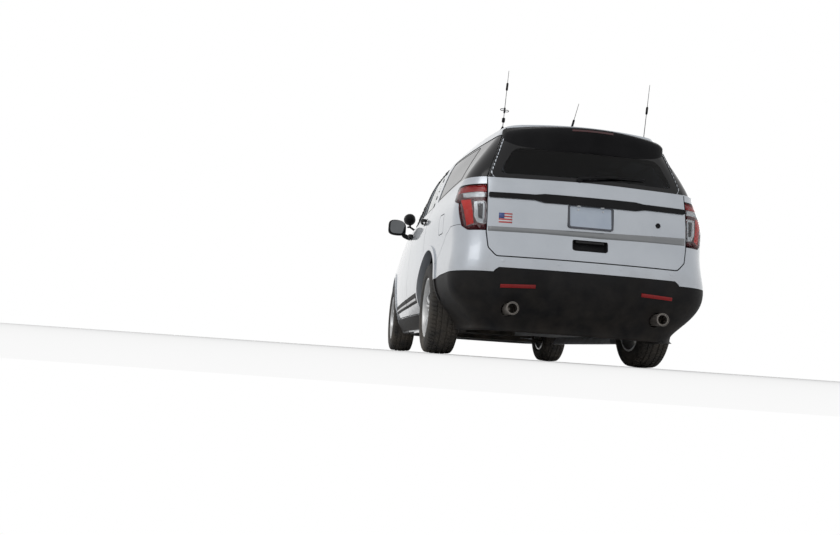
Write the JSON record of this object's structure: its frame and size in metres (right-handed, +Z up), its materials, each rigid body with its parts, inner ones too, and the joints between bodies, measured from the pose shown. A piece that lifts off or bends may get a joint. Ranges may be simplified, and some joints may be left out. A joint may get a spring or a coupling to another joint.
{
  "type": "police patrol car",
  "caption": "Mid-size patrol car with a wagon body: hollow cabin, opening doors, hood, tailgate and fuel flap, steered front wheels, roof antennas and a pillar spot lamp.",
  "frame": {"origin": "on the ground under the middle of the car's length, on its centre plane", "axes": "+X to the front, +Y to the car's left, +Z up"},
  "size_m": [5.0046, 2.29, 2.1669],
  "materials": {
    "body_paint": "silver metallic paint",
    "inner_paint": "grey primer",
    "black_trim": "moulded black plastic",
    "liner_plastic": "rough black plastic",
    "lamp_clear": "clear lamp lens",
    "lamp_red": "red lamp lens",
    "glass_clear": "tinted glass",
    "glass_dark": "dark privacy glass",
    "chassis_metal": "black painted steel",
    "engine_metal": "cast aluminium",
    "exhaust_metal": "stainless steel",
    "wheel_metal": "painted alloy",
    "tyre_rubber": "black rubber",
    "seat_fabric": "dark cloth",
    "cabin_plastic": "grained cabin plastic"
  },
  "bodies": {
    "body": {"antennas": "black_trim", "cowl_panel": "black_trim", "dashboard": "cabin_plastic", "door_frames": "inner_paint", "engine_block": "engine_metal", "exhaust": "exhaust_metal", "floor_pan": "inner_paint", "front_bumper": "body_paint", "front_fenders": "body_paint", "front_seats": "seat_fabric", "front_subframe": "chassis_metal", "front_wheel_liners": "liner_plastic", "fuel_tank": "liner_plastic", "grille": "black_trim", "head_lamps": "lamp_clear", "nose_panel": "body_paint", "quarter_windows": "glass_dark", "radiator": "chassis_metal", "rear_bumper": "body_paint", "rear_seat": "seat_fabric", "rear_subframe": "chassis_metal", "rear_valance": "black_trim", "rear_wheel_liners": "liner_plastic", "roof_panel": "body_paint", "side_panels": "body_paint", "sill_trims": "black_trim", "spot_lamp": "black_trim", "tail_lamps": "lamp_red", "windshield": "glass_clear"},
    "knuckle_left": {"steering_knuckle_left": "chassis_metal"},
    "knuckle_right": {"steering_knuckle_right": "chassis_metal"},
    "wheel_front_left": {"front_wheel_left": "wheel_metal", "front_tyre_left": "tyre_rubber"},
    "wheel_front_right": {"front_wheel_right": "wheel_metal", "front_tyre_right": "tyre_rubber"},
    "wheel_rear_left": {"rear_wheel_left": "wheel_metal", "rear_tyre_left": "tyre_rubber"},
    "wheel_rear_right": {"rear_wheel_right": "wheel_metal", "rear_tyre_right": "tyre_rubber"},
    "front_door_left": {"front_door_left": "body_paint", "front_door_window_left": "glass_clear", "door_mirror_left": "black_trim"},
    "front_door_right": {"front_door_right": "body_paint", "front_door_window_right": "glass_clear", "door_mirror_right": "black_trim"},
    "rear_door_left": {"rear_door_left": "body_paint", "rear_door_window_left": "glass_clear"},
    "rear_door_right": {"rear_door_right": "body_paint", "rear_door_window_right": "glass_clear"},
    "tailgate": {"tailgate": "body_paint", "tailgate_window": "glass_dark", "rear_spoiler": "black_trim", "tailgate_strip": "black_trim"},
    "hood": {"hood": "body_paint"},
    "fuel_door": {"fuel_door": "body_paint"},
    "steering_wheel": {"steering_wheel": "cabin_plastic"}
  },
  "joints": [
    {"name": "steer_left", "type": "hinge", "parent": "body", "child": "knuckle_left", "pos_m": [1.573, 0.79, 0.215], "axis": [0, -0.2349, 0.972], "range_deg": [-33, 33]},
    {"name": "steer_right", "type": "hinge", "parent": "body", "child": "knuckle_right", "pos_m": [1.573, -0.79, 0.215], "axis": [0, 0.2349, 0.972], "range_deg": [-33, 33]},
    {"name": "steering_wheel_turn", "type": "hinge", "parent": "body", "child": "steering_wheel", "pos_m": [0.64, 0.37, 0.95], "axis": [-0.9063, 0, 0.4226], "range_deg": [-528, 528]},
    {"name": "front_left_spin", "type": "hinge", "parent": "knuckle_left", "child": "wheel_front_left", "pos_m": [1.573, 0.851, 0.363], "axis": [0, 1, 0], "continuous": true},
    {"name": "front_right_spin", "type": "hinge", "parent": "knuckle_right", "child": "wheel_front_right", "pos_m": [1.573, -0.851, 0.363], "axis": [0, 1, 0], "continuous": true},
    {"name": "rear_left_spin", "type": "hinge", "parent": "body", "child": "wheel_rear_left", "pos_m": [-1.287, 0.851, 0.363], "axis": [0, 1, 0], "continuous": true},
    {"name": "rear_right_spin", "type": "hinge", "parent": "body", "child": "wheel_rear_right", "pos_m": [-1.287, -0.851, 0.363], "axis": [0, 1, 0], "continuous": true},
    {"name": "front_door_left_hinge", "type": "hinge", "parent": "body", "child": "front_door_left", "pos_m": [0.98, 0.977, 0.7], "axis": [0, 0, -1], "range_deg": [0, 70]},
    {"name": "front_door_right_hinge", "type": "hinge", "parent": "body", "child": "front_door_right", "pos_m": [0.98, -0.977, 0.7], "axis": [0, 0, 1], "range_deg": [0, 70]},
    {"name": "rear_door_left_hinge", "type": "hinge", "parent": "body", "child": "rear_door_left", "pos_m": [-0.123, 0.994, 0.7], "axis": [0, 0, -1], "range_deg": [0, 70]},
    {"name": "rear_door_right_hinge", "type": "hinge", "parent": "body", "child": "rear_door_right", "pos_m": [-0.123, -0.994, 0.7], "axis": [0, 0, 1], "range_deg": [0, 70]},
    {"name": "tailgate_hinge", "type": "hinge", "parent": "body", "child": "tailgate", "pos_m": [-2.105, 0, 1.699], "axis": [0, 1, 0], "range_deg": [0, 85]},
    {"name": "hood_hinge", "type": "hinge", "parent": "body", "child": "hood", "pos_m": [1.35, 0, 1.212], "axis": [0, -1, 0], "range_deg": [0, 50]},
    {"name": "fuel_door_hinge", "type": "hinge", "parent": "body", "child": "fuel_door", "pos_m": [-1.671, 0.944, 0.975], "axis": [0, 0.0321, -0.9995], "range_deg": [0, 85]}
  ],
  "couplings": [
    {"joint": "steer_right", "follows": "steer_left", "ratio": 1},
    {"joint": "steering_wheel_turn", "follows": "steer_left", "ratio": 16}
  ]
}
